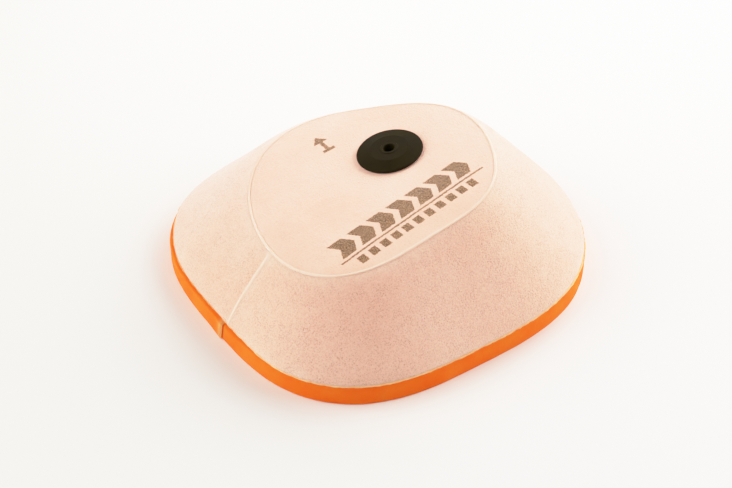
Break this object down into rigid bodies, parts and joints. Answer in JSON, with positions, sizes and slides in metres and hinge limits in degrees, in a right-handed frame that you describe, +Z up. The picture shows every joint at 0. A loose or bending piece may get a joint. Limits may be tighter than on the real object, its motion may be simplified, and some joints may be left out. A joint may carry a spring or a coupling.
{
  "type": "motorcycle foam air filter",
  "caption": "Tapered two-layer foam air filter element with a dense foam seal ring round its open base and a bolt washer on its sloping crown.",
  "frame": {"origin": "on the floor, under the middle of the seal ring's own box", "axes": "+Z up through the crown; +X towards the crown's higher side and along the longest side of the seal ring, with the side seam on the -X side; +Y towards the lower long side of the crown"},
  "size_m": [0.2137, 0.1998, 0.0713],
  "materials": {
    "coarse_foam": "matte",
    "fine_foam": "matte",
    "seal_foam": "matte",
    "seam_glue": "satin",
    "washer_rubber": "satin",
    "backing_plastic": "matte"
  },
  "bodies": {
    "root": {"outer_side_band": "coarse_foam", "outer_top_panel": "coarse_foam", "inner_side_band": "fine_foam", "inner_top_panel": "fine_foam", "seal_ring": "seal_foam", "seal_joint_glue": "seam_glue", "base_seam_glue": "seam_glue", "top_seam_glue": "seam_glue", "side_seam_glue": "seam_glue", "top_washer": "washer_rubber", "top_washer_glue": "seam_glue", "backing_washer": "backing_plastic", "backing_washer_glue": "seam_glue"}
  },
  "joints": []
}
